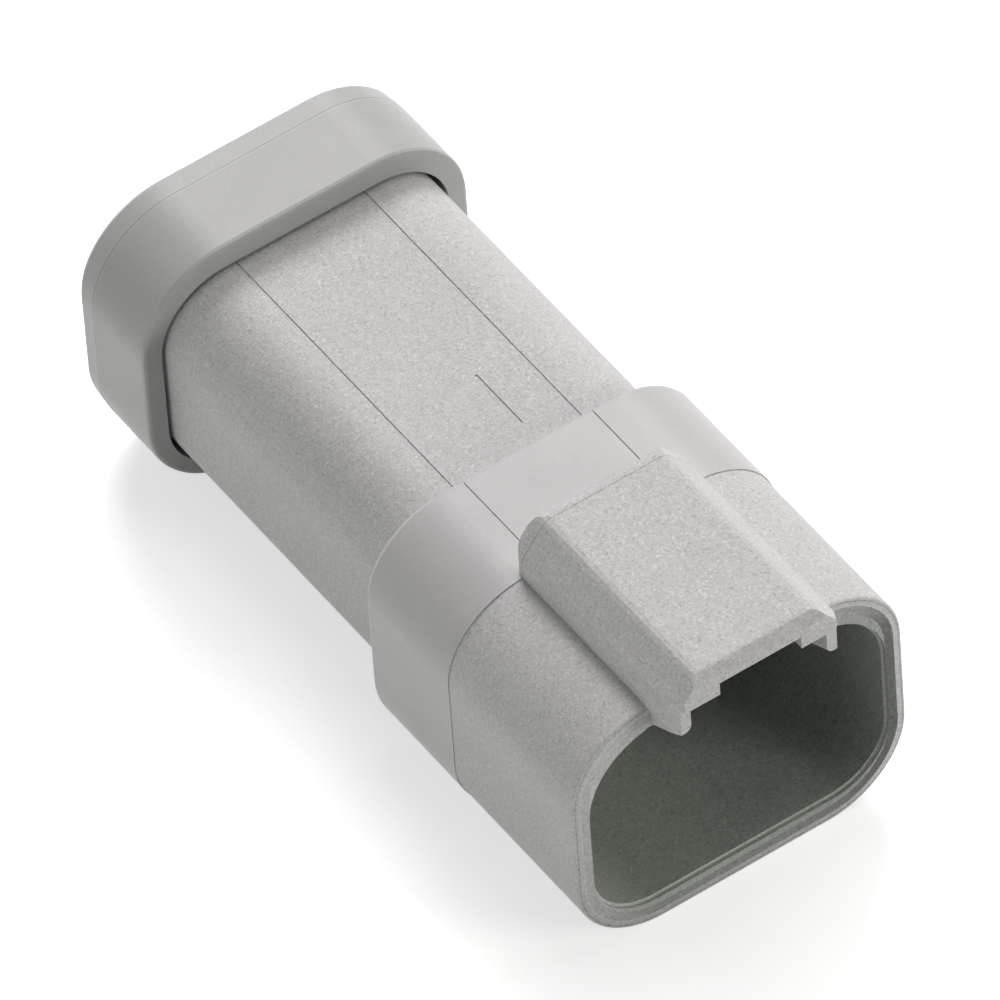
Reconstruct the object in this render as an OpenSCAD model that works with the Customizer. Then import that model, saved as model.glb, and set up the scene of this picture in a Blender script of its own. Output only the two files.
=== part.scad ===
// Sealed inline connector receptacle with four pin contacts.
//
// Frame: X across the width, -Y towards the mating end, +Z up towards the latch block.
// The origin is at the bottom centre of the whole assembly. Lengths along Y are
// given from the front rim of the shroud ("depth") and shifted as one at the end.

/* [Shroud] */
// Width of the shroud
shroud_w = 23.2; // [22.6:0.1:26]
// Height of the shroud, without the latch block
shroud_h = 18.35; // [17.8:0.05:20]
// Length of the shroud, from the rim to its rear shoulder
shroud_len = 20.65; // [20:0.05:24]
// Corner radius at the top of the shroud
top_r = 5.65; // [5:0.05:6.2]
// Corner radius at the bottom of the shroud
bottom_r = 5.75; // [5:0.05:6.2]
// Thickness of the shroud's side walls
side_wall = 1.35; // [1.2:0.05:1.5]
// Thickness of the shroud's top wall
top_wall = 1.95; // [1.7:0.05:2.1]
// Thickness of the shroud's bottom wall
bottom_wall = 1.85; // [1.6:0.05:2]
// Corner radius at the top of the socket inside the shroud
socket_top_r = 5; // [4.4:0.1:5.2]
// Corner radius at the bottom of the socket inside the shroud
socket_bottom_r = 4.1; // [3.8:0.1:4.6]
// Length of the front band that the front mould half shapes
band_len = 12.33; // [11.5:0.01:13]
// Height of the witness step where the two mould halves meet
witness_step = 0.06; // [0.04:0.01:0.1]
// Chamfer on the inner edge of the rim
rim_chamfer = 0.3; // [0.1:0.05:0.5]
// Rounding of the rim's outer edge
rim_edge = 0.15; // [0.1:0.05:0.3]
// Rounding of the shroud's rear shoulder
shoulder_edge = 0.3; // [0.15:0.05:0.5]

/* [Latch block] */
// Width of the latch block at its foot
block_w = 12; // [11.6:0.1:12.6]
// Width of the flat on top of the latch block
block_top_w = 8.4; // [7.6:0.1:9]
// Height of the latch block above the shroud
block_rise = 3.65; // [3.4:0.05:4.2]
// Height of the block's upright sides above the shroud
block_side_rise = 1.5; // [1:0.05:1.8]
// How far the block stands out in front of the rim
block_nose = 2.9; // [2.4:0.1:3.4]
// Length of the block behind the line where the mould halves meet
block_tail = 0.95; // [0.9:0.05:1.4]
// Radius of the block's rear corners, seen from above
block_rear_r = 0.85; // [0.6:0.05:1.2]
// Rounding of the edge between the block's top and its rear
block_rear_edge = 0.7; // [0.4:0.05:0.85]
// Rounding of the block's long edges and of its nose
block_edge = 0.35; // [0.2:0.05:0.5]
// Width of the latch slot under the block
slot_w = 9.5; // [9.2:0.1:9.6]
// Thickness of the roof beside the raised groove of the slot
slot_roof = 2.15; // [1.9:0.05:2.4]
// Width of the raised groove in the slot's ceiling
groove_w = 5.7; // [5:0.1:6.4]
// Depth of the raised groove
groove_rise = 0.95; // [0.7:0.05:1.1]
// Depth of the catch bar's front face behind the rim
catch_depth = 3.4; // [2.8:0.1:4.4]
// Length of the catch bar
catch_len = 1.5; // [1.2:0.1:2]
// How far the two guide teeth stand out in front of the rim
tooth_nose = 2.6; // [2.3:0.1:2.7]
// Width of a guide tooth
tooth_w = 1.05; // [0.95:0.05:1.1]
// How far a guide tooth hangs below the top of the shroud at its front
tooth_drop = 0.55; // [0.4:0.05:0.7]

/* [Body] */
// Inset of the body's sides from the shroud's sides
body_inset_x = 1.7; // [1.5:0.05:1.9]
// Inset of the body's top and bottom from the shroud's
body_inset_z = 1.5; // [1.4:0.05:1.7]
// Wall of the body round the seal
seal_wall = 1.3; // [1.1:0.05:1.4]
// Depth at which the body ends, from the rim
body_end = 48.4; // [47:0.1:52]

/* [Mould lines] */
// Distance of the two witness lines on top from the middle
witness_x = 4.54; // [4.2:0.01:5]
// Width of a witness line
witness_w = 0.1; // [0.08:0.01:0.14]
// Depth of a witness line
witness_depth = 0.07; // [0.05:0.01:0.1]
// Place of the short engraved mark, to the right of the middle
mark_x = 1.49; // [1:0.01:2]
// Length of the short engraved mark
mark_len = 4.7; // [4:0.1:5]

/* [Contacts] */
// Distance between contact axes across the width
pitch_x = 6.4; // [6.2:0.1:6.8]
// Distance between contact axes up the height
pitch_z = 5.6; // [5.5:0.1:5.8]
// Diameter of the mating pin
pin_d = 1.59; // [1.4:0.01:1.6]
// Diameter of the pin's root, from just ahead of the wedge lock to the front collar
root_d = 1.95; // [1.95:0.05:2.05]
// Depth of the pin tips behind the rim
pin_tip = 8.6; // [8:0.1:10]
// Diameter of the locking collars and the crimp barrel
barrel_d = 2.6; // [2.4:0.05:2.7]
// Depth of the front collar's front face
collar_depth = 15.6; // [15.4:0.05:15.8]
// Length of the front collar
collar_len = 1; // [0.8:0.05:1.1]
// Length of the locking groove behind the front collar
lock_len = 1.4; // [1.2:0.05:1.6]
// Diameter at the bottom of the locking groove
lock_d = 1.9; // [1.7:0.05:2]
// Overall length of a contact
contact_len = 23; // [20:0.5:26]
// Diameter of the hole for the stripped wire
wire_hole_d = 1.75; // [1.4:0.05:1.9]
// Depth of the hole for the stripped wire
wire_hole_len = 7.2; // [6:0.1:8]

/* [Contact cavities] */
// Diameter of a contact cavity
cavity_d = 3.3; // [3.1:0.05:3.4]
// Depth of the bulkhead's front face
bulkhead_depth = 22; // [21.5:0.1:23]
// Depth of the shelf that the rear seal rests on
shelf_depth = 40.3; // [38.5:0.1:42]
// Width of a locking finger
finger_w = 2.4; // [2:0.1:2.6]
// Thickness of a locking finger
finger_t = 0.8; // [0.7:0.05:0.9]
// Wall of the half-round nests round the contacts
nest_wall = 0.9; // [0.7:0.05:1]
// Clearance between a contact and what locks or guides it
contact_gap = 0.1; // [0.06:0.01:0.15]

/* [Wedge lock] */
// Width of the wedge lock's plate
wedge_w = 15.8; // [15.6:0.1:16.2]
// Height of the wedge lock's plate
wedge_h = 11; // [10.6:0.1:11.6]
// Thickness of the wedge lock's plate
wedge_t = 1.8; // [1.4:0.1:2.2]
// Diameter of the wedge lock's pin holes
wedge_hole_d = 2.25; // [2.15:0.05:2.4]
// Width of the blade that goes between the fingers
blade_w = 10.8; // [10:0.1:11.4]
// Clearance between the blade's end and the bulkhead
blade_room = 0.8; // [0.5:0.1:1.8]
// Clearance between the ends of the lock's legs and the bulkhead
leg_room = 2.2; // [1.6:0.1:2.4]
// Clearance between the wedge lock and the housing
wedge_gap = 0.1; // [0.06:0.01:0.15]

/* [Rear seal and cap] */
// Diameter of a wire hole through the seal
seal_hole_d = 2.6; // [2.2:0.1:2.8]
// Diameter inside the sealing ribs of a wire hole
seal_rib_d = 1.6; // [1.4:0.1:1.8]
// Depth of the ribs round the outside of the seal
seal_rib = 0.35; // [0.25:0.05:0.45]
// Clearance round the seal's ribs
seal_gap = 0.05; // [0.03:0.01:0.1]
// Thickness of the cap's skirt at the sides
cap_wall = 1.3; // [1.2:0.05:1.6]
// Thickness of the cap's skirt at the top
cap_top_wall = 1.7; // [1.5:0.05:2]
// Length of the rear cap
cap_len = 6.85; // [6.4:0.05:8]
// Thickness of the rear cap's end plate
cap_plate = 1.7; // [1.4:0.05:2]
// Clearance between the cap's skirt and the body
cap_gap = 0.3; // [0.2:0.05:0.4]
// Bevel round the rear edge of the cap
cap_bevel = 0.15; // [0.1:0.05:0.4]
// Length of the bevelled band at the rear of the cap
cap_bevel_len = 1.6; // [1.2:0.1:2]
// Rounding of the skirt's front edge
cap_edge = 0.25; // [0.15:0.05:0.35]
// Diameter of the wire ports
port_d = 3.9; // [3.5:0.1:4.2]

/* [Hidden] */

round_fn = 48;
bore_fn = 32;
over = 0.5;  // how far a cutter passes through what it cuts

// Outline of the shroud's inside
inner_w = shroud_w - 2 * side_wall;
inner_h = shroud_h - top_wall - bottom_wall;
mid_z = shroud_h / 2;

// Outline of the body behind the shroud
body_w = shroud_w - 2 * body_inset_x;
body_h = shroud_h - 2 * body_inset_z;
body_top_r = top_r - body_inset_x + 0.55;
body_bottom_r = bottom_r - body_inset_x + 0.55;
shoulder_wall = 1.75;
recess_w = body_w - 2 * seal_wall;
recess_h = body_h - 2 * seal_wall;
recess_r = body_top_r - seal_wall;

// Latch block
block_top = shroud_h + block_rise;
slot_ceiling = block_top - slot_roof;
groove_ceiling = slot_ceiling + groove_rise;
slot_end = band_len - 0.9;
block_root = 0.15;  // how far the block's foot sinks into the shroud's top wall
nose_chamfer = 0.55;
corner_cut = 1.4;
corner_cut_w = 0.7;
block_end = band_len + block_tail;

// Contacts
shoulder_depth = collar_depth + collar_len + lock_len;
shoulder_len = 1.2;
stem_d = barrel_d - 0.4;
stem_len = 2.6;
tip_len = 1.1;
tip_d = 0.7;
inspection_d = 0.8;
contact_end = pin_tip + contact_len;
core_wall = 4.5;  // solid core between the bulkhead's front and the core's pockets
places = [
    [-pitch_x / 2, pitch_z / 2], [pitch_x / 2, pitch_z / 2],
    [pitch_x / 2, -pitch_z / 2], [-pitch_x / 2, -pitch_z / 2]
];

// Fingers and nests
nest_r = barrel_d / 2 + contact_gap;
nest_depth = collar_depth - 0.3;
finger_off = nest_r + 0.05;
finger_inner = pitch_z / 2 - finger_off - finger_t;
tooth_off = lock_d / 2 + contact_gap;
hook_depth = collar_depth + collar_len + contact_gap;
hook_len = lock_len - 2 * contact_gap;

// Wedge lock
wedge_rear = nest_depth - wedge_gap;
wedge_front = wedge_rear - wedge_t;
root_depth = wedge_front - 0.8;
blade_t = 2 * (finger_inner - wedge_gap / 2);
blade_end = bulkhead_depth - blade_room;
leg_x = blade_w / 2 + 0.75;
leg_t = 0.85;
leg_h = 3.2;
leg_end = bulkhead_depth - leg_room;
barb = 0.35;
post_inner = leg_x + leg_t + barb + wedge_gap / 2;
post_wall = 0.95;
post_h = leg_h + 1.2;
post_front = wedge_rear + 0.7;
ledge_end = leg_end - 1.6;
recess_step = 0.35;

// Seal and cap
cap_w = body_w + 2 * (cap_gap + cap_wall);
cap_h = body_inset_z + body_h + cap_gap + cap_top_wall;
seal_end = body_end + 0.15;
cap_start = body_end + 2 - cap_len;
cap_end = cap_start + cap_len;
cap_r_top = top_r + 0.6;
cap_r_bottom = bottom_r + 0.85;
snap_depth = body_end - 2.4;
snap_len = 0.8;
snap_rise = 0.5;
snap_w = 8;
snap_h = 5;

// The frame's origin lies midway between the block's nose and the cap's rear face
mid_depth = (cap_end - block_nose) / 2;

// ---- Outlines -------------------------------------------------------------

// A rounded rectangle seen from the front: width w, from z = low to z = low + h
module outline(w, h, low, rt, rb) {
    union() {
        translate([-w / 2 + rb, low]) square([w - 2 * rb, h]);
        translate([-w / 2, low + rb]) square([w, h - rt - rb]);
        translate([-w / 2 + rt, low + h - rt]) square([w - 2 * rt, rt]);
        for (side = [-1, 1]) {
            translate([side * (w / 2 - rt), low + h - rt]) circle(r = rt, $fn = round_fn);
            translate([side * (w / 2 - rb), low + rb]) circle(r = rb, $fn = round_fn);
        }
    }
}

// The three points that round the corner at p, between its neighbours a and b
function unit(v) = v / norm(v);
function eased(a, p, b, size) = [
    p + size * unit(a - p),
    p + 0.28 * size * (unit(a - p) + unit(b - p)),
    p + size * unit(b - p)
];

// Extrudes a front-view outline from one depth to another
module run(from, to) {
    translate([0, to, 0]) rotate([90, 0, 0]) linear_extrude(height = to - from) children();
}

// A solid turned about the Y axis; its outline is given as [radius, depth]
module turned(fn = round_fn) {
    rotate([90, 0, 0]) mirror([0, 0, 1]) rotate_extrude($fn = fn) children();
}

// A plain cylinder along Y
module rod(d, from, to, fn = bore_fn) {
    translate([0, to, 0]) rotate([90, 0, 0]) cylinder(d = d, h = to - from, $fn = fn);
}

// A block given by its depth range, centred on x = 0 and on z
module bar(w, from, to, h, z = 0) {
    translate([-w / 2, from, z - h / 2]) cube([w, to - from, h]);
}

module at_contacts() {
    for (place = places) {
        translate([place[0], 0, mid_z + place[1]]) children();
    }
}

// ---- Housing --------------------------------------------------------------

// A rounded box standing on z = 0 whose wall has a shaped section. The child draws
// that section from the middle out to $reach, as [reach, depth].
module shaped(w, h, rt, rb) {
    low = rb;
    high = h - rt;
    middle = (low + high) / 2;
    top_half = w / 2 - rt;
    bottom_half = w / 2 - rb;
    union() {
        for (side = [-1, 1]) {
            translate([side * top_half, 0, high]) turned() let($reach = rt) children();
            translate([side * bottom_half, 0, low]) turned() let($reach = rb) children();
        }
        for (side = [0, 1]) mirror([side, 0, 0])
            translate([0, 0, low]) linear_extrude(height = high - low)
                let($reach = w / 2) children();
        translate([top_half, 0, middle]) rotate([0, -90, 0])
            linear_extrude(height = 2 * top_half) let($reach = h - middle) children();
        translate([-bottom_half, 0, middle]) rotate([0, 90, 0])
            linear_extrude(height = 2 * bottom_half) let($reach = middle) children();
    }
}

// The front band, with a rounded rim, and the rear band, with a rounded shoulder
module shroud_shell() {
    joint = band_len + over;
    shaped(shroud_w - 2 * witness_step, shroud_h - witness_step, top_r, bottom_r)
        polygon(concat([[0, joint], [0, 0]],
            eased([0, 0], [$reach, 0], [$reach, joint], rim_edge), [[$reach, joint]]));
    shaped(shroud_w, shroud_h, top_r, bottom_r)
        polygon(concat([[0, shroud_len], [0, band_len], [$reach, band_len]],
            eased([$reach, band_len], [$reach, shroud_len], [0, shroud_len], shoulder_edge)));
}

module body_shell() {
    run(shroud_len - over, body_end)
        outline(body_w, body_h, body_inset_z, body_top_r, body_bottom_r);
}

// The block's section across, with upright feet and sloping shoulders
module block_section() {
    foot = [block_w / 2, shroud_h - block_root];
    side = [block_w / 2, shroud_h + block_side_rise];
    top = [block_top_w / 2, block_top];
    right = concat([foot], eased(foot, side, top, block_edge),
        eased(side, top, [0, block_top], block_edge));
    polygon(concat(right, [for (i = [len(right) - 1 : -1 : 0]) [-right[i][0], right[i][1]]]));
}

// The block's section along, with a chamfered nose and a rounded rear edge
module block_profile() {
    foot = shroud_h - block_root;
    nose_top = [-block_nose + nose_chamfer, block_top];
    nose_low = [-block_nose, block_top - nose_chamfer];
    nose_edge = 0.45 * block_edge;
    rear_top = [block_end, block_top];
    polygon(concat(
        [[-block_nose, foot], [block_end, foot]],
        eased([block_end, foot], rear_top, nose_top, block_rear_edge),
        eased(rear_top, nose_top, nose_low, nose_edge),
        eased(nose_top, nose_low, [-block_nose, foot], nose_edge)
    ));
}

// The block's outline from above: front corners cut back, rear corners round
module block_plan() {
    half = block_w / 2;
    corner = half - block_rear_r;
    union() {
        polygon([
            [-half + corner_cut_w, -block_nose], [half - corner_cut_w, -block_nose],
            [half, -block_nose + corner_cut], [half, block_end - block_rear_r],
            [-half, block_end - block_rear_r], [-half, -block_nose + corner_cut]
        ]);
        translate([-corner, 0]) square([2 * corner, block_end]);
        for (side = [-1, 1])
            translate([side * corner, block_end - block_rear_r])
                circle(r = block_rear_r, $fn = bore_fn);
    }
}

module latch_block() {
    intersection() {
        run(-block_nose, block_end) block_section();
        translate([-block_w, 0, 0]) rotate([90, 0, 90])
            linear_extrude(height = 2 * block_w) block_profile();
        linear_extrude(height = block_top + over) block_plan();
    }
}

// The two teeth that lead the plug's latch into the slot. Their rounded lower
// edges rise from the shroud's inner ceiling to the front.
module guide_teeth() {
    low = shroud_h - tooth_drop;
    ceiling = shroud_h - top_wall;
    tip_r = 0.45 * tooth_w;
    slope = atan((low - ceiling) / tooth_nose);
    intersection() {
        linear_extrude(height = slot_ceiling + 0.2) block_plan();
        bar(block_w, -tooth_nose, over, 2 * slot_ceiling);
        for (side = [-1, 1])
            translate([side * (slot_w + tooth_w) / 2, 0, ceiling]) rotate([-slope, 0, 0])
                run(-2 * tooth_nose, 2 * over)
                    outline(tooth_w, block_rise + top_wall, 0, tip_r, tip_r);
    }
}

// The stepped slot with its catch bar. In front of the teeth only the roof stands out.
module latch_slot() {
    slot_low = shroud_h - top_wall - over;
    bar(slot_w, -block_nose - over, slot_end, slot_ceiling - slot_low,
        (slot_ceiling + slot_low) / 2);
    bar(block_w + 2 * over, -block_nose - over, -tooth_nose, slot_ceiling - slot_low,
        (slot_ceiling + slot_low) / 2);
    difference() {
        bar(groove_w, -block_nose - over, slot_end, groove_ceiling - slot_low,
            (groove_ceiling + slot_low) / 2);
        bar(groove_w + 1, catch_depth, catch_depth + catch_len, block_rise,
            slot_ceiling + block_rise / 2);
    }
}

// Inside of the shroud: the socket for the plug and the recess round the fingers
module plug_socket() {
    floor_depth = shroud_len - shoulder_wall;
    run(-over, floor_depth)
        outline(inner_w, inner_h, bottom_wall, socket_top_r, socket_bottom_r);
    run(floor_depth - over, bulkhead_depth)
        outline(recess_w, recess_h, body_inset_z + seal_wall, recess_r, recess_r);
}

// The bevel on the inner edge of the rim, cut as a ring of one small slope a side
module rim_relief() {
    run(-over, rim_chamfer)
        outline(inner_w + rim_chamfer, inner_h + rim_chamfer, bottom_wall - rim_chamfer / 2,
            socket_top_r + rim_chamfer / 2, socket_bottom_r + rim_chamfer / 2);
}

module seal_recess() {
    run(shelf_depth, body_end + over)
        outline(recess_w, recess_h, body_inset_z + seal_wall, recess_r, recess_r);
}

// Pockets that keep the core's walls even
module core_pockets() {
    pocket_front = bulkhead_depth + core_wall;
    side_w = 1.8;
    for (side = [-1, 1]) {
        translate([side * (recess_w / 2 - side_w / 2 - 0.2), 0, 0])
            bar(side_w, pocket_front, shelf_depth + over, 2 * pitch_z / 2 + 1.4, mid_z);
    }
    bar(pitch_x - cavity_d - 1.8, pocket_front, shelf_depth + over, pitch_z + cavity_d, mid_z);
}

// A half-round nest, a flexible finger and its hook, for one contact.
// up is 1 for the upper row and -1 for the lower row.
module contact_nest(up) {
    nest_end = bulkhead_depth + over;
    difference() {
        rod(2 * (nest_r + nest_wall), nest_depth, nest_end, round_fn);
        rod(2 * nest_r, nest_depth - over, nest_end + over);
        bar(4 * nest_r, nest_depth - over, nest_end + over, 2 * nest_r, -up * nest_r);
    }
    translate([0, 0, -up * (finger_off + finger_t / 2)])
        bar(finger_w, hook_depth, nest_end, finger_t);
    translate([0, 0, -up * (finger_off + tooth_off) / 2])
        bar(finger_w, hook_depth, hook_depth + hook_len, finger_off - tooth_off + 0.2);
}

// The side posts that the wedge lock's legs snap behind
module wedge_posts() {
    for (side = [-1, 1]) {
        difference() {
            translate([side * (post_inner + post_wall / 2), 0, 0])
                bar(post_wall, post_front, bulkhead_depth + over, post_h, mid_z);
            translate([side * post_inner, 0, 0])
                bar(2 * recess_step, ledge_end, bulkhead_depth, leg_h + 0.5, mid_z);
        }
    }
}

// Beads near the body's end that the cap snaps over
module snap_beads(grow = 0) {
    from = snap_depth - grow;
    to = snap_depth + snap_len + grow;
    wide = body_w + 2 * (snap_rise + grow);
    tall = body_h + 2 * (snap_rise + grow);
    bar(wide, from, to, snap_h + 2 * grow, mid_z);
    bar(snap_w + 2 * grow, from, to, tall, mid_z);
}

// Fine grooves where parts of the mould meet, and the short mark between them
module witness_lines() {
    body_top = body_inset_z + body_h;
    for (side = [-1, 1]) translate([side * witness_x, 0, 0]) {
        bar(witness_w, shroud_len - over, body_end, 2 * witness_depth, body_top);
        bar(witness_w, block_end, shroud_len + over, 2 * witness_depth, shroud_h);
    }
    translate([mark_x, 0, 0])
        bar(1.6 * witness_w, shroud_len + 2.6, shroud_len + 2.6 + mark_len,
            2 * witness_depth, body_top);
}

module housing() {
    color([0.78, 0.77, 0.76]) difference() {
        union() {
            difference() {
                union() {
                    shroud_shell();
                    body_shell();
                    latch_block();
                    snap_beads();
                }
                plug_socket();
                rim_relief();
                latch_slot();
            }
            guide_teeth();
            for (place = places) {
                translate([place[0], 0, mid_z + place[1]]) contact_nest(sign(place[1]));
            }
            wedge_posts();
        }
        at_contacts() rod(cavity_d, bulkhead_depth, shelf_depth + over);
        seal_recess();
        core_pockets();
        witness_lines();
    }
}

// ---- Wedge lock -----------------------------------------------------------

module wedge_leg() {
    barb_start = ledge_end + wedge_gap;
    translate([leg_x, 0, mid_z - leg_h / 2]) linear_extrude(height = leg_h) polygon([
        [0, wedge_rear - over], [leg_t, wedge_rear - over], [leg_t, barb_start],
        [leg_t + barb, barb_start], [leg_t + barb, barb_start + 0.3],
        [leg_t, leg_end], [0, leg_end]
    ]);
}

module wedge_lock() {
    color([0.38, 0.39, 0.37]) difference() {
        union() {
            run(wedge_front, wedge_rear)
                outline(wedge_w, wedge_h, mid_z - wedge_h / 2, 2.2, 2.2);
            // blade between the upper and lower fingers, thinned at its end
            rotate([90, 0, 90]) translate([0, 0, -blade_w / 2]) linear_extrude(height = blade_w)
                polygon([
                    [wedge_rear - over, mid_z - blade_t / 2],
                    [blade_end - 1, mid_z - blade_t / 2],
                    [blade_end, mid_z - blade_t / 4],
                    [blade_end, mid_z + blade_t / 4],
                    [blade_end - 1, mid_z + blade_t / 2],
                    [wedge_rear - over, mid_z + blade_t / 2]
                ]);
            for (side = [0, 1]) mirror([side, 0, 0]) wedge_leg();
            // collars round the pin holes
            at_contacts() rod(wedge_hole_d + 1.3, wedge_front - 0.4, wedge_front + over);
        }
        at_contacts() {
            rod(wedge_hole_d, wedge_front - 1, wedge_rear + over);
        }
        // slot for the hook that pulls the lock out
        bar(1.6, wedge_front - over, wedge_front + 1, 4.4, mid_z);
    }
}

// ---- Contacts -------------------------------------------------------------

module contact() {
    barrel_start = shoulder_depth + shoulder_len + stem_len;
    hole_start = contact_end - wire_hole_len;
    color([0.75, 0.73, 0.68]) difference() {
        turned() polygon([
            [0, pin_tip], [tip_d / 2, pin_tip], [pin_d / 2, pin_tip + tip_len],
            [pin_d / 2, root_depth], [root_d / 2, root_depth],
            [root_d / 2, collar_depth], [barrel_d / 2, collar_depth],
            [barrel_d / 2, collar_depth + collar_len], [lock_d / 2, collar_depth + collar_len],
            [lock_d / 2, shoulder_depth], [barrel_d / 2, shoulder_depth],
            [barrel_d / 2, shoulder_depth + shoulder_len],
            [stem_d / 2, shoulder_depth + shoulder_len], [stem_d / 2, barrel_start],
            [barrel_d / 2, barrel_start], [barrel_d / 2, contact_end], [0, contact_end]
        ]);
        rod(wire_hole_d, hole_start, contact_end + over);
        translate([0, hole_start + inspection_d, 0]) cylinder(d = inspection_d, h = barrel_d,
            $fn = bore_fn);
    }
}

// ---- Rear seal ------------------------------------------------------------

// A wire hole with two narrower sealing ribs
module seal_hole() {
    seal_len = seal_end - shelf_depth;
    rib = 0.9;
    r_hole = seal_hole_d / 2;
    r_rib = seal_rib_d / 2;
    first = shelf_depth + seal_len / 3;
    second = shelf_depth + 2 * seal_len / 3;
    turned(bore_fn) polygon([
        [0, shelf_depth - over], [r_hole, shelf_depth - over],
        [r_hole, first - rib], [r_rib, first], [r_hole, first + rib],
        [r_hole, second - rib], [r_rib, second], [r_hole, second + rib],
        [r_hole, seal_end + over], [0, seal_end + over]
    ]);
}

module rear_seal() {
    rib_count = 3;
    rib_len = 1.1;
    step = (seal_end - shelf_depth - rib_len) / rib_count;
    low = body_inset_z + seal_wall;
    color([0.78, 0.36, 0.16]) difference() {
        union() {
            run(shelf_depth, seal_end) outline(
                recess_w - 2 * (seal_gap + seal_rib), recess_h - 2 * (seal_gap + seal_rib),
                low + seal_gap + seal_rib, recess_r - seal_rib, recess_r - seal_rib
            );
            for (i = [0 : rib_count - 1]) {
                start = shelf_depth + 0.5 + i * step;
                run(start, start + rib_len) outline(
                    recess_w - 2 * seal_gap, recess_h - 2 * seal_gap,
                    low + seal_gap, recess_r, recess_r
                );
            }
        }
        at_contacts() seal_hole();
    }
}

// ---- Rear cap -------------------------------------------------------------

// The cap's outer form: rounded front edge, straight skirt, bevelled rear band
module cap_form() {
    shaped(cap_w, cap_h, cap_r_top, cap_r_bottom)
        polygon(concat([[0, cap_end], [0, cap_start]],
            eased([0, cap_start], [$reach, cap_start], [$reach, cap_end], cap_edge),
            [[$reach, cap_end - cap_bevel_len],
                [$reach - cap_bevel, cap_end - 1.5 * cap_bevel],
                [$reach - 2 * cap_bevel, cap_end]]));
}

module rear_cap() {
    plate_front = cap_end - cap_plate;
    color([0.77, 0.77, 0.75]) difference() {
        cap_form();
        run(cap_start - over, plate_front) outline(
            body_w + 2 * cap_gap, body_h + 2 * cap_gap, body_inset_z - cap_gap,
            body_top_r + cap_gap, body_bottom_r + cap_gap
        );
        snap_beads(cap_gap);
        at_contacts() rod(port_d, plate_front - over, cap_end + over);
    }
}

module placed() {
    translate([0, -mid_depth, 0]) children();
}

module numbered_contact(place) {
    placed() translate([place[0], 0, mid_z + place[1]]) contact();
}

placed() housing();
placed() rear_cap();
placed() rear_seal();
placed() wedge_lock();
numbered_contact(places[0]);  // contact_1
numbered_contact(places[1]);  // contact_2
numbered_contact(places[2]);  // contact_3
numbered_contact(places[3]);  // contact_4
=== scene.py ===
# %% [markdown]
# # A sealed four-way connector, dressed in Blender
# The solids of this part come ready made from its CAD source. This lesson gives them
# what CAD leaves out: moulded plastic with its spark-eroded grain, soft silicone,
# plated metal, the small marks that a mould leaves, and a quiet studio to see them in.
# Everything is in metres, in the same frame as the CAD: X across the part, -Y towards
# the mating end, +Z up towards the latch block.

# %% Load the solids
import math

import bpy
from mathutils import Matrix, Vector


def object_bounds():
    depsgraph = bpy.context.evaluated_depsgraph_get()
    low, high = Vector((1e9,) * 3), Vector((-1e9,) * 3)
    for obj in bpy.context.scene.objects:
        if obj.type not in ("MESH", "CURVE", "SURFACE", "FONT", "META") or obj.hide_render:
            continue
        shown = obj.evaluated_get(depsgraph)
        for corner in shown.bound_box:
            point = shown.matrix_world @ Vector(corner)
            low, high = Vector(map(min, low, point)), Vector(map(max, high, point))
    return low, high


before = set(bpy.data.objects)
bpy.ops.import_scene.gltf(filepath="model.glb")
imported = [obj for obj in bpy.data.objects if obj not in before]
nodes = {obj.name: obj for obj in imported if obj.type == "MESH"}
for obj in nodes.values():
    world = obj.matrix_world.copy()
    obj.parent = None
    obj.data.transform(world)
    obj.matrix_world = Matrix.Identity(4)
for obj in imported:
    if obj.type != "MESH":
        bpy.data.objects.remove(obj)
cad_low, cad_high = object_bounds()
MM = 0.001
print("CAD box in mm:", [round(v / MM, 2) for v in (*cad_low, *cad_high)])

# %% [markdown]
# The camera comes first, because every later choice is judged through it. The part is
# seen from high on its front left, with a very long lens from more than a metre away,
# so that parallel edges stay almost parallel. A camera looks along its own -Z axis.
# Its turn is given here as an azimuth round the part, an elevation above the floor and
# a small roll, which are easier to read than a matrix.

# %% Camera
AZIMUTH = math.radians(-31.594499)
ELEVATION = math.radians(48.290420)
ROLL = math.radians(-4.467976)
CAMERA_PLACE = Vector((-0.436457, -0.709426, 0.945281))
LENS_MM = 778.259


def camera_turn(azimuth, elevation, roll):
    """Columns are the camera's right, up and back directions."""
    back = Vector(
        (
            math.sin(azimuth) * math.cos(elevation),
            -math.cos(azimuth) * math.cos(elevation),
            math.sin(elevation),
        )
    )
    right = Vector((math.cos(azimuth), math.sin(azimuth), 0))
    up = back.cross(right)
    rolled_right = math.cos(roll) * right + math.sin(roll) * up
    rolled_up = -math.sin(roll) * right + math.cos(roll) * up
    return Matrix((rolled_right, rolled_up, back)).transposed()


scene = bpy.context.scene
camera = bpy.data.objects.new("camera", bpy.data.cameras.new("camera"))
scene.collection.objects.link(camera)
scene.camera = camera
camera.data.sensor_width = 36
camera.data.lens = LENS_MM
camera.data.clip_start = 0.1
camera.data.clip_end = 20
camera.matrix_world = camera_turn(AZIMUTH, ELEVATION, ROLL).to_4x4()
camera.location = CAMERA_PLACE
scene.view_settings.view_transform = "Standard"
print("camera distance in m:", round(CAMERA_PLACE.length, 3))

# %% [markdown]
# A material is a small graph of nodes. Three short helpers keep the lesson readable:
# one adds a node and sets its inputs, one joins an output to an input, and one empties
# a material's graph so that it starts from nothing.


# %% Node helpers
def add(tree, kind, settings=None, **inputs):
    """Adds a node, sets its own settings and the values of its inputs."""
    node = tree.nodes.new(kind)
    for name, value in (settings or {}).items():
        setattr(node, name, value)
    for name, value in inputs.items():
        node.inputs[name].default_value = value
    return node


def join(tree, source, target, output=0, entry=0):
    """Links two nodes and gives back the second, so that steps can be chained."""
    tree.links.new(source.outputs[output], target.inputs[entry])
    return target


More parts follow.
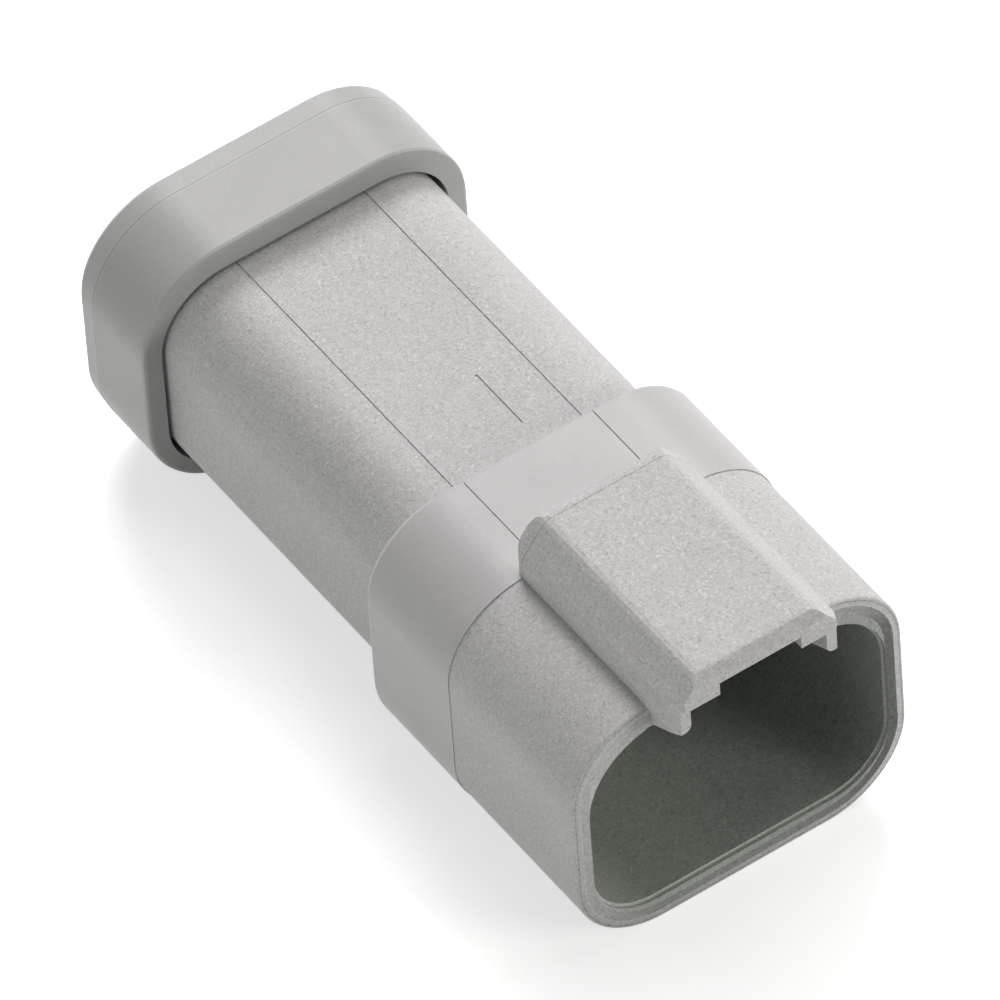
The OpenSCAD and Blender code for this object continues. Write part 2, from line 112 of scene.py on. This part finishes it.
def fresh_tree(material):
    """The empty node tree of a material."""
    material.use_nodes = True
    material.node_tree.nodes.clear()
    return material.node_tree


# %% [markdown]
# The studio is a pale floor under a soft sky. The sky that lights the part is dim, but
# the one that the camera, gloss and glass see is white, and the Light Path node tells
# them apart. A strength of 1 is white, so the background doesn't need strong lamps.

# %% Sky
SKY_LIGHT = 0.12
SKY_TINT = (0.95, 1.0, 0.94, 1)

sky = bpy.data.worlds.new("studio")
scene.world = sky
sky.use_nodes = True
tree = sky.node_tree
tree.nodes.clear()


def seen_directly(tree):
    """1 for the rays of the camera and of gloss, 0 for the light that the part gets."""
    path = add(tree, "ShaderNodeLightPath")
    seen = add(tree, "ShaderNodeMath", {"operation": "MAXIMUM"})
    join(tree, path, seen, "Is Camera Ray", 0)
    join(tree, path, seen, "Is Glossy Ray", 1)
    both = add(tree, "ShaderNodeMath", {"operation": "MAXIMUM"})
    join(tree, seen, both, 0, 0)
    return join(tree, path, both, "Is Transmission Ray", 1)


lighting = add(tree, "ShaderNodeBackground", Color=SKY_TINT, Strength=SKY_LIGHT)
white = add(tree, "ShaderNodeBackground", Color=(1, 1, 1, 1), Strength=1.0)
pick = add(tree, "ShaderNodeMixShader")
join(tree, seen_directly(tree), pick, 0, 0)
join(tree, lighting, pick, 0, 1)
join(tree, white, pick, 0, 2)
join(tree, pick, add(tree, "ShaderNodeOutputWorld"))
print("light of the sky on the part:", SKY_LIGHT)

# %% [markdown]
# Most of the light comes from a large lamp high behind the part, to the right, so the
# tops are pale and everything that turns towards the viewer falls into shade. A second
# lamp above softens that. One at the front right lights the rim, and a low one on the
# left keeps the left sides open. The lamps are big and far away, which makes soft
# shadows. Those above are a touch pink and the others a touch green, as daylight and
# room light are when they mix.

# %% Lamps
PART_MIDDLE = (cad_low + cad_high) / 2


def softbox(name, place, size, power, tint):
    """A square lamp that faces the middle of the part."""
    lamp = bpy.data.lights.new(name, "AREA")
    lamp.shape = "SQUARE"
    lamp.size = size
    lamp.energy = power
    lamp.color = tint
    holder = bpy.data.objects.new(name, lamp)
    holder.location = place
    aim = PART_MIDDLE - Vector(place)
    holder.rotation_mode = "QUATERNION"
    holder.rotation_quaternion = aim.to_track_quat("-Z", "Y")
    scene.collection.objects.link(holder)
    return holder


HIGH_TINT = (1.0, 0.978, 0.985)
FRONT_TINT = (1.0, 1.0, 0.955)
LEFT_TINT = (0.98, 1.0, 0.97)

softbox("back_lamp", (0.5, 0.8, 0.8), 0.6, 10.9, HIGH_TINT)
softbox("top_lamp", (0.3, 0.1, 1.15), 0.6, 3.5, HIGH_TINT)
softbox("front_lamp", (0.7, -0.95, 0.4), 0.5, 4.9, FRONT_TINT)
softbox("left_lamp", (-1.1, 0.0, 0.08), 0.5, 2.7, LEFT_TINT)

# %% [markdown]
# The floor is a sheet of white paper, level with the underside of the part. It is lit
# like everything else, which keeps the part's own shadow on it, and a little light of
# its own is added for the camera alone, so that it ends up white away from the shadow.

# %% Floor
FLOOR_HALF = 3.0
PAPER_WHITE = 0.9
FLOOR_LIFT = 0.58

floor_mesh = bpy.data.meshes.new("floor")
corners = [(-1, -1), (1, -1), (1, 1), (-1, 1)]
floor_points = [(x * FLOOR_HALF, y * FLOOR_HALF, cad_low.z) for x, y in corners]
floor_mesh.from_pydata(floor_points, [], [(0, 1, 2, 3)])
floor = bpy.data.objects.new("floor", floor_mesh)
scene.collection.objects.link(floor)
paper = bpy.data.materials.new("white_paper")
tree = fresh_tree(paper)
paper_colour = (PAPER_WHITE, PAPER_WHITE, PAPER_WHITE, 1)
sheet = add(tree, "ShaderNodeBsdfDiffuse", Color=paper_colour)
lift = add(tree, "ShaderNodeEmission", Color=(1, 1, 1, 1), Strength=FLOOR_LIFT)
both = add(tree, "ShaderNodeAddShader")
join(tree, sheet, both, 0, 0)
join(tree, lift, both, 0, 1)
pick = add(tree, "ShaderNodeMixShader")
join(tree, seen_directly(tree), pick, 0, 0)
join(tree, sheet, pick, 0, 1)
join(tree, both, pick, 0, 2)
join(tree, pick, add(tree, "ShaderNodeOutputMaterial"))
floor_mesh.materials.append(paper)
print("floor at z in mm:", round(cad_low.z / MM, 2))

# %% [markdown]
# Materials often need plain arithmetic: a stretch of values turned into a mask, two
# masks multiplied, a colour made lighter. These helpers each make one such step and
# give back its last node, so a material reads like a short calculation.


# %% Arithmetic in nodes
def ramp_between(tree, source, low, high, out_low=0.0, out_high=1.0, output=0):
    """A clamped straight-line change of a value."""
    change = add(
        tree,
        "ShaderNodeMapRange",
        {"clamp": True},
        **{"From Min": low, "From Max": high, "To Min": out_low, "To Max": out_high},
    )
    return join(tree, source, change, output)


def reckon(tree, operation, first, second):
    """A Math node; each of its two inputs is a node or a plain number."""
    sum_node = add(tree, "ShaderNodeMath", {"operation": operation})
    for entry, value in enumerate((first, second)):
        if isinstance(value, bpy.types.Node):
            join(tree, value, sum_node, 0, entry)
        else:
            sum_node.inputs[entry].default_value = value
    return sum_node


def total(tree, *terms):
    """The sum of two or more nodes or numbers."""
    result = terms[0]
    for term in terms[1:]:
        result = reckon(tree, "ADD", result, term)
    return result


def product(tree, *factors):
    """The product of two or more nodes or numbers."""
    result = factors[0]
    for factor in factors[1:]:
        result = reckon(tree, "MULTIPLY", result, factor)
    return result


def colour_between(tree, factor, first, second):
    """Goes from one colour to another as the factor goes from 0 to 1."""
    change = add(tree, "ShaderNodeVectorMath", {"operation": "MULTIPLY_ADD"})
    change.inputs[1].default_value = [b - a for a, b in zip(first, second)]
    change.inputs[2].default_value = first
    return join(tree, factor, change, 0, 0)


def scaled_colour(tree, colour, factor):
    """A colour, fixed or from a node, times a changing factor."""
    scaled = add(tree, "ShaderNodeVectorMath", {"operation": "SCALE"})
    if isinstance(colour, bpy.types.Node):
        join(tree, colour, scaled, 0, 0)
    else:
        scaled.inputs[0].default_value = colour
    return join(tree, factor, scaled, 0, "Scale")


def band(tree, source, start, end, soft, output=0):
    """1 between start and end, with soft borders."""
    rise = ramp_between(tree, source, start - soft, start + soft, output=output)
    fall = ramp_between(tree, source, end - soft, end + soft, 1.0, 0.0, output=output)
    return product(tree, rise, fall)


def stripe(tree, spot, middle, half_width, soft):
    """1 in a narrow stripe across the part, at a place along it."""
    return band(tree, spot, middle - half_width, middle + half_width, soft, "Y")


# %% [markdown]
# Several finishes change at the outline of the shroud: the rim has fine lines just
# inside its edge, and the socket is darker than the outside. The distance of a point
# from a rounded rectangle tells where it lies. It takes the point's place in the XZ
# plane, folds it into one corner, and measures from the centre of that corner.


# %% Distance from a rounded rectangle
def outline_distance(tree, place, width, low, high, radius):
    """Distance outside a rounded rectangle seen from the front; negative inside."""
    centre = (0, 0, (low + high) / 2)
    core = (width / 2 - radius, 0, (high - low) / 2 - radius)
    steps = (("SUBTRACT", centre), ("MULTIPLY", (1, 0, 1)), ("ABSOLUTE", None))
    steps += (("SUBTRACT", core), ("MAXIMUM", (0, 0, 0)))
    point = place
    for operation, other in steps:
        step = add(tree, "ShaderNodeVectorMath", {"operation": operation})
        join(tree, point, step, "Object" if point is place else 0, 0)
        if other is not None:
            step.inputs[1].default_value = other
        point = step
    length = add(tree, "ShaderNodeVectorMath", {"operation": "LENGTH"})
    join(tree, point, length, 0, 0)
    distance = add(tree, "ShaderNodeMath", {"operation": "SUBTRACT"})
    distance.inputs[1].default_value = radius
    return join(tree, length, distance, "Value", 0)


# %% [markdown]
# Moulded plastic takes the surface of its steel mould. Where the steel was spark eroded
# it is sandy, with a mottled tone, fine pits and a few bright flecks of glass fibre.
# Where the steel was ground it is smooth, with only a hint of that. An image could give
# this, but noise has no seams and no end. Both finishes come from the same four noises,
# so one function makes them, and the amount of grain may change from place to place.
# The largest noise makes clouds, the slow change of tone across a moulding, and the
# same specks give pits where they are lowest and fibres where they are highest.

# %% Grain of moulded plastic
CLOUD_SIZE = 2.6 * MM
MOTTLE_SIZE = 0.34 * MM
GRAIN_SIZE = 0.12 * MM
SPECK_SIZE = 0.16 * MM
CLOUD_TONE = 0.02
MOTTLE_TONE = 0.05
GRAIN_TONE = 0.11
SPECK_TONE = 0.2
MOTTLE_HEIGHT = 1.5
NOISE_LOW, NOISE_HIGH = 0.3, 0.7
FIBRE_START, FIBRE_FULL = 0.66, 0.74
PIT_START, PIT_FULL = 0.34, 0.26


def noise(tree, place, size, detail=2.0, roughness=0.5):
    """Noise in the part's own space, with bumps of about the given size."""
    source = add(
        tree, "ShaderNodeTexNoise", Scale=1 / size, Detail=detail, Roughness=roughness
    )
    return join(tree, place, source, "Object", "Vector")


def toned(tree, source, depth):
    """Turns a noise into a change of tone, up to the given depth either way."""
    return ramp_between(tree, source, NOISE_LOW, NOISE_HIGH, -depth, depth)


def moulded_surface(tree, place, grain_amount):
    """Tone and height of moulded plastic; the grain amount is a node or a number."""
    clouds = noise(tree, place, CLOUD_SIZE, 3.0)
    mottle = noise(tree, place, MOTTLE_SIZE, 2.0)
    grain = noise(tree, place, GRAIN_SIZE, 2.0, 0.6)
    specks = noise(tree, place, SPECK_SIZE, 0.0)
    fibres = ramp_between(tree, specks, FIBRE_START, FIBRE_FULL, 0.0, SPECK_TONE)
    pits = ramp_between(tree, specks, PIT_START, PIT_FULL, 0.0, -SPECK_TONE)
    mottle_and_grain = total(
        tree, toned(tree, mottle, MOTTLE_TONE), toned(tree, grain, GRAIN_TONE)
    )
    sandy = total(tree, mottle_and_grain, total(tree, fibres, pits))
    sandy = product(tree, sandy, grain_amount)
    tone = total(tree, toned(tree, clouds, CLOUD_TONE), sandy, 1.0)
    height = total(tree, grain, product(tree, mottle, MOTTLE_HEIGHT))
    return tone, product(tree, height, grain_amount)


# %% [markdown]
# The principled shader gets the tone as its colour, a roughness that may be higher
# where there is grain, and the height as bump. Values that are the same all over, such
# as the specular level, are set on the shader itself. The grain is too fine to be worth
# real geometry, so bump does for it.


# %% Plastic shader
PLASTIC_IOR = 1.5
PLASTIC_SPECULAR = 0.3
GRAIN_DEPTH = 0.02 * MM


def plastic_shader(tree, colour, roughness, height, bump_depth, form=None):
    """The bump depth scales the grain; a form is a larger relief, given in metres."""
    surface = add(tree, "ShaderNodeBsdfPrincipled")
    surface.inputs["IOR"].default_value = PLASTIC_IOR
    surface.inputs["Specular IOR Level"].default_value = PLASTIC_SPECULAR
    join(tree, colour, surface, 0, "Base Color")
    if isinstance(roughness, bpy.types.Node):
        join(tree, roughness, surface, 0, "Roughness")
    else:
        surface.inputs["Roughness"].default_value = roughness
    bump = add(tree, "ShaderNodeBump", Strength=1.0, Distance=bump_depth)
    join(tree, height, bump, 0, "Height")
    if form is not None:
        relief = add(tree, "ShaderNodeBump", Strength=1.0, Distance=1.0)
        join(tree, form, relief, 0, "Height")
        join(tree, relief, bump, 0, "Normal")
    join(tree, bump, surface, 0, "Normal")
    join(tree, surface, add(tree, "ShaderNodeOutputMaterial"))
    return surface


def dress(node_name, material):
    """Gives a CAD solid a material in place of its plain one."""
    mesh = nodes[node_name].data
    mesh.materials.clear()
    mesh.materials.append(material)


# %% [markdown]
# The housing is one moulding with several finishes, so its material has to know where
# each begins. Splitting the mesh would do it too, but masks in the material leave the
# solid alone and give soft borders. Places along the part are counted from the rim of
# the shroud, which lies a known length before the end of the cap.

# %% Places along the housing
RIM_TO_CAP_END = 50.4 * MM
RIM_TO_BAND = 12.33 * MM
RIM_TO_SOCKET_FLOOR = 18.9 * MM
RIM_TO_SHOULDER = 20.65 * MM

rim_y = cad_high.y - RIM_TO_CAP_END
band_y = rim_y + RIM_TO_BAND
socket_floor_y = rim_y + RIM_TO_SOCKET_FLOOR
shoulder_y = rim_y + RIM_TO_SHOULDER
shroud_top = 18.35 * MM
places = (rim_y, band_y, socket_floor_y, shoulder_y)
print("rim, band, socket floor, shoulder in mm:", [round(y / MM, 2) for y in places])

# %% [markdown]
# The body, the latch block and the front band of the shroud are sandy. The collar
# between band and shoulder is smooth. The block reaches over the collar but stays
# sandy, so height tells the two apart. One value, the amount of grain, says all of it.

# %% Sandy and smooth parts of the housing
SMOOTH_GRAIN = 0.15
FINISH_BORDER = 0.06 * MM

housing_plastic = bpy.data.materials.new("housing_plastic")
tree = fresh_tree(housing_plastic)
place = add(tree, "ShaderNodeTexCoord")
spot = add(tree, "ShaderNodeSeparateXYZ")
join(tree, place, spot, "Object", 0)


def along(axis, low, high, out_low=0.0, out_high=1.0):
    """A change along one axis of the housing."""
    return ramp_between(tree, spot, low, high, out_low, out_high, output=axis)


collar = band(tree, spot, band_y, shoulder_y, FINISH_BORDER, output="Y")
block_start = shroud_top + 0.05 * MM
below_block = along("Z", block_start, block_start + 0.1 * MM, 1.0, 0.0)
smooth = product(tree, collar, below_block)
grain_amount = ramp_between(tree, smooth, 0, 1, 1.0, SMOOTH_GRAIN)
print("length of the smooth collar in mm:", round((shoulder_y - band_y) / MM, 2))

# %% [markdown]
# The socket is painted with shade: a cooler, darker grey than the outside, though it is
# the same plastic. It begins at the small bevel behind the rim and ends at its floor.
# The mask is the inner outline of the shroud, held between those two places.

# %% Inside of the socket
SOCKET_WIDTH = 20.5 * MM
SOCKET_LOW, SOCKET_HIGH = 1.85 * MM, 16.4 * MM
SOCKET_CORNER = 4.5 * MM

inside = outline_distance(
    tree, place, SOCKET_WIDTH, SOCKET_LOW, SOCKET_HIGH, SOCKET_CORNER
)
inside = ramp_between(tree, inside, 0.2 * MM, 0.5 * MM, 1.0, 0.0)
before_floor = along("Y", socket_floor_y, socket_floor_y + 0.1 * MM, 1.0, 0.0)
behind_rim = along("Y", rim_y + 0.02 * MM, rim_y + 0.1 * MM)
# Painted shade: this mask lays the darker, cooler grey over the inside of the shroud.
socket = product(tree, inside, before_floor, behind_rim)
print("depth of the socket in mm:", round((socket_floor_y - rim_y) / MM, 2))

# %% [markdown]
# Two fine lines run round the face of the rim: a dark one close to its outer edge, a mark
# of the mould, and a pale one on the ridge where the face begins to fall inwards, which
# is a painted highlight. Both are too thin to be worth geometry, so they are changes of
# tone.

# %% Lines on the rim
RIM_WIDTH = 23.08 * MM
RIM_LOW, RIM_HIGH = 0.06 * MM, 18.29 * MM
RIM_CORNER = 5.7 * MM
LINE_BORDER = 0.02 * MM
SOFT_BORDER = 0.03 * MM
DARK_LINE_TONE = -0.35
RIDGE_HIGHLIGHT_TONE = 0.2

edge = outline_distance(tree, place, RIM_WIDTH, RIM_LOW, RIM_HIGH, RIM_CORNER)
rim_face = stripe(tree, spot, rim_y, 0.06 * MM, 0.01 * MM)
below_rim_top = along("Z", shroud_top - 0.05 * MM, shroud_top + 0.05 * MM, 1.0, 0.0)
rim_face = product(tree, rim_face, below_rim_top)
dark_line = band(tree, edge, -0.24 * MM, -0.15 * MM, LINE_BORDER)
# Painted highlight along the ridge of the rim.
ridge_highlight = band(tree, edge, -0.56 * MM, -0.49 * MM, SOFT_BORDER)
dark_line = product(tree, dark_line, DARK_LINE_TONE)
ridge_highlight = product(tree, ridge_highlight, RIDGE_HIGHLIGHT_TONE)
rim_lines = product(tree, total(tree, dark_line, ridge_highlight), rim_face)
print("width of the lined rim in mm:", round(RIM_WIDTH / MM, 2))

# %% [markdown]
# A third line, pale again, marks the inner end of the bevel: a painted highlight along
# the crisp edge there. It runs round the lower part of the mouth only: along the top
# the latch slot cuts through it.

# %% Painted highlight inside the mouth
MOUTH_LINE_DEPTH = 0.265 * MM
MOUTH_HIGHLIGHT_TONE = 0.5

low_part = along("Z", 14.0 * MM, 17.0 * MM, 1.0, 0.0)
mouth_y = rim_y + MOUTH_LINE_DEPTH
# Painted highlight at the inner end of the bevel.
mouth_highlight = stripe(tree, spot, mouth_y, 0.065 * MM, SOFT_BORDER)
mouth_highlight = product(tree, mouth_highlight, inside, low_part, MOUTH_HIGHLIGHT_TONE)
print("bevel ends behind the rim, in mm:", round(MOUTH_LINE_DEPTH / MM, 2))

# %% [markdown]
# The face of the rim isn't flat. From a low ridge it falls a little to its outer edge
# and steeply inwards, except along the top. This crown is under a millimetre wide and
# goes in as relief: a height in metres that follows the distance from the outline. The
# inner fall also gets painted shade: some of the socket's darker colour, none on the far
# left and more towards the right.

# %% Crown of the rim
RIDGE = -0.55 * MM
RIDGE_HEIGHT = 0.1 * MM
INNER_END = -1.18 * MM
INNER_FALL = 0.75 * MM

ridge = ramp_between(tree, edge, -0.1 * MM, RIDGE, 0.0, RIDGE_HEIGHT)
inner_fall = ramp_between(tree, edge, RIDGE, INNER_END, 0.0, -INNER_FALL)
inner_fall = product(tree, inner_fall, low_part)
behind_nose = along("Y", rim_y - 0.08 * MM, rim_y - 0.04 * MM)
crown = product(tree, total(tree, ridge, inner_fall), behind_nose)

# Painted shade on the inner fall of the rim: none on the far left, more to the right.
rim_fall_shade = ramp_between(tree, edge, -0.5 * MM, -0.62 * MM)
rim_fall_shade = product(tree, rim_fall_shade, rim_face, along("X", -10.5 * MM, -7.0 * MM, 0.0, 0.7))
fall_angle = math.degrees(math.atan2(INNER_FALL, RIDGE - INNER_END))
print("the rim falls inwards at", round(fall_angle), "degrees")

# %% [markdown]
# The mould of the housing parts at the back of the front band. On the shroud the line
# is in the solid. Across the latch block it is finer, and only a change of tone.

# %% Parting line on the latch block
PARTING_HALF = 0.04 * MM
PARTING_TONE = -0.38

above_shroud = along("Z", shroud_top + 0.1 * MM, shroud_top + 0.2 * MM)
parting = stripe(tree, spot, band_y, PARTING_HALF, LINE_BORDER)
parting = product(tree, parting, above_shroud, PARTING_TONE)
print("parting line at y in mm:", round(band_y / MM, 2))

# %% [markdown]
# Everything comes together in one colour. It goes from the pale warm grey of the
# housing to the socket's painted shade, and is then scaled by the grain, by the marks and
# painted highlights, and by two slow changes: sandy parts scatter more light and look a
# little paler, and painted shade makes the socket deeper in tone towards its right side.

# %% Housing plastic
HOUSING_GREY = (0.535, 0.525, 0.524)
# The socket's grey is painted shade, darker and cooler than the housing's own grey.
SOCKET_SHADE_GREY = (0.39, 0.415, 0.375)
SANDY_TONE = 0.08
SOCKET_SHADE_TONE = -0.4
SMOOTH_ROUGHNESS, SANDY_ROUGHNESS = 0.42, 0.6

marks_and_highlights = total(tree, rim_lines, mouth_highlight, parting)
tone, height = moulded_surface(tree, place, grain_amount)
socket = reckon(tree, "MAXIMUM", socket, rim_fall_shade)
# Painted shade: the socket grows darker towards its right side.
painted_socket_shade = product(tree, along("X", -3.0 * MM, 9.0 * MM, 0.0, SOCKET_SHADE_TONE), socket)
tone = total(tree, tone, marks_and_highlights, product(tree, grain_amount, SANDY_TONE), painted_socket_shade)
colour = colour_between(tree, socket, HOUSING_GREY, SOCKET_SHADE_GREY)
colour = scaled_colour(tree, colour, tone)
roughness = ramp_between(
    tree, grain_amount, SMOOTH_GRAIN, 1.0, SMOOTH_ROUGHNESS, SANDY_ROUGHNESS
)
plastic_shader(tree, colour, roughness, height, GRAIN_DEPTH, crown)
dress("housing", housing_plastic)
print("housing material has", len(tree.nodes), "nodes")

# %% [markdown]
# The rear cap is moulded separately, of a slightly darker and smoother grade. Its mould
# parts where the skirt begins to taper to the rear: a fine dark seam runs round it
# there, with a pale thread in front of it that is a painted highlight on that edge.

# %% Cap plastic
CAP_GREY = (0.43, 0.43, 0.425)
CAP_GRAIN = 0.2
CAP_ROUGHNESS = 0.42
CAP_TAPER = 1.6 * MM
TAPER_HIGHLIGHT_GAP = 0.1 * MM
SEAM_TONE = -0.3
TAPER_HIGHLIGHT_TONE = 0.15

cap_plastic = bpy.data.materials.new("cap_plastic")
tree = fresh_tree(cap_plastic)
place = add(tree, "ShaderNodeTexCoord")
spot = add(tree, "ShaderNodeSeparateXYZ")
join(tree, place, spot, "Object", 0)
seam_y = cad_high.y - CAP_TAPER
seam = stripe(tree, spot, seam_y, PARTING_HALF, LINE_BORDER)
# Painted highlight just in front of the seam.
taper_highlight = stripe(tree, spot, seam_y - TAPER_HIGHLIGHT_GAP, PARTING_HALF, LINE_BORDER)
seam = product(tree, seam, SEAM_TONE)
taper_highlight = product(tree, taper_highlight, TAPER_HIGHLIGHT_TONE)
tone, height = moulded_surface(tree, place, CAP_GRAIN)
tone = total(tree, tone, total(tree, seam, taper_highlight))
colour = scaled_colour(tree, CAP_GREY, tone)
plastic_shader(tree, colour, CAP_ROUGHNESS, height, GRAIN_DEPTH)
dress("rear_cap", cap_plastic)
print("cap seam at y in mm:", round(seam_y / MM, 2))

# %% [markdown]
# The wedge lock snaps in from the front and keeps the fingers from letting go of the
# contacts. It is a smooth part of the same family, in a darker neutral grey.

# %% Wedge plastic
WEDGE_GREY = (0.3, 0.31, 0.29)
WEDGE_GRAIN = 0.15
WEDGE_ROUGHNESS = 0.36

wedge_plastic = bpy.data.materials.new("wedge_plastic")
tree = fresh_tree(wedge_plastic)
place = add(tree, "ShaderNodeTexCoord")
tone, height = moulded_surface(tree, place, WEDGE_GRAIN)
colour = scaled_colour(tree, WEDGE_GREY, tone)
plastic_shader(tree, colour, WEDGE_ROUGHNESS, height, GRAIN_DEPTH)
dress("wedge_lock", wedge_plastic)
print("wedge lock grey:", WEDGE_GREY)

# %% [markdown]
# Silicone is soft and slightly clear, so light goes a little way in: a small subsurface
# weight does that. Its skin is dull, and the same grain, at a third of its strength and
# half its depth, stands for the talc that keeps such seals from sticking together.

# %% Seal silicone
SEAL_ORANGE = (0.6, 0.19, 0.06)
SEAL_GRAIN = 0.3
SEAL_ROUGHNESS = 0.62
SEAL_CLEARNESS = 0.15
SEAL_REACH = (0.6 * MM, 0.25 * MM, 0.12 * MM)

seal_silicone = bpy.data.materials.new("seal_silicone")
tree = fresh_tree(seal_silicone)
place = add(tree, "ShaderNodeTexCoord")
tone, height = moulded_surface(tree, place, SEAL_GRAIN)
colour = scaled_colour(tree, SEAL_ORANGE, tone)
surface = plastic_shader(tree, colour, SEAL_ROUGHNESS, height, GRAIN_DEPTH / 2)
surface.inputs["Subsurface Weight"].default_value = SEAL_CLEARNESS
surface.inputs["Subsurface Radius"].default_value = SEAL_REACH
dress("rear_seal", seal_silicone)
print("light reaches into the seal, in mm:", [round(r / MM, 2) for r in SEAL_REACH])

# %% [markdown]
# The contacts are turned from copper alloy and plated with nickel. A lathe tool leaves
# fine rings, which follow the place along the axis: a noise that is stretched across
# the axis and very fine along it gives them, as bump and as a change of roughness.
# Handling dulls the plating in soft patches.

# %% Plated contacts
PLATE_COLOUR = (0.66, 0.635, 0.59)
RING_PITCH = 0.05 * MM
RING_DEPTH = 0.004 * MM
RING_STRETCH = 0.02
RING_ROUGHNESS = 0.05
PATCH_SIZE = 1.6 * MM
PATCH_LOW, PATCH_HIGH = 0.35, 0.7
BRIGHT, DULL = 1.03, 0.88
SHARP_ROUGHNESS, DULL_ROUGHNESS = 0.24, 0.4

nickel = bpy.data.materials.new("nickel_plate")
tree = fresh_tree(nickel)
place = add(tree, "ShaderNodeTexCoord")
stretched = add(tree, "ShaderNodeVectorMath", {"operation": "MULTIPLY"})
stretched.inputs[1].default_value = (RING_STRETCH, 1.0, RING_STRETCH)
join(tree, place, stretched, "Object", 0)
rings = add(tree, "ShaderNodeTexNoise", Scale=1 / RING_PITCH, Detail=1.0)
join(tree, stretched, rings, 0, "Vector")
patches = noise(tree, place, PATCH_SIZE, 3.0)
tone = ramp_between(tree, patches, PATCH_LOW, PATCH_HIGH, BRIGHT, DULL)
patch_rough = ramp_between(
    tree, patches, PATCH_LOW, PATCH_HIGH, SHARP_ROUGHNESS, DULL_ROUGHNESS
)
metal = add(tree, "ShaderNodeBsdfPrincipled", Metallic=1.0)
join(tree, scaled_colour(tree, PLATE_COLOUR, tone), metal, 0, "Base Color")
metal_rough = total(tree, toned(tree, rings, RING_ROUGHNESS), patch_rough)
join(tree, metal_rough, metal, 0, "Roughness")
bump = add(tree, "ShaderNodeBump", Strength=0.6, Distance=RING_DEPTH)
join(tree, rings, bump, 0, "Height")
join(tree, bump, metal, 0, "Normal")
join(tree, metal, add(tree, "ShaderNodeOutputMaterial"))
contacts = sorted(name for name in nodes if name.startswith("contact_"))
for name in contacts:
    dress(name, nickel)
print("plated:", contacts)
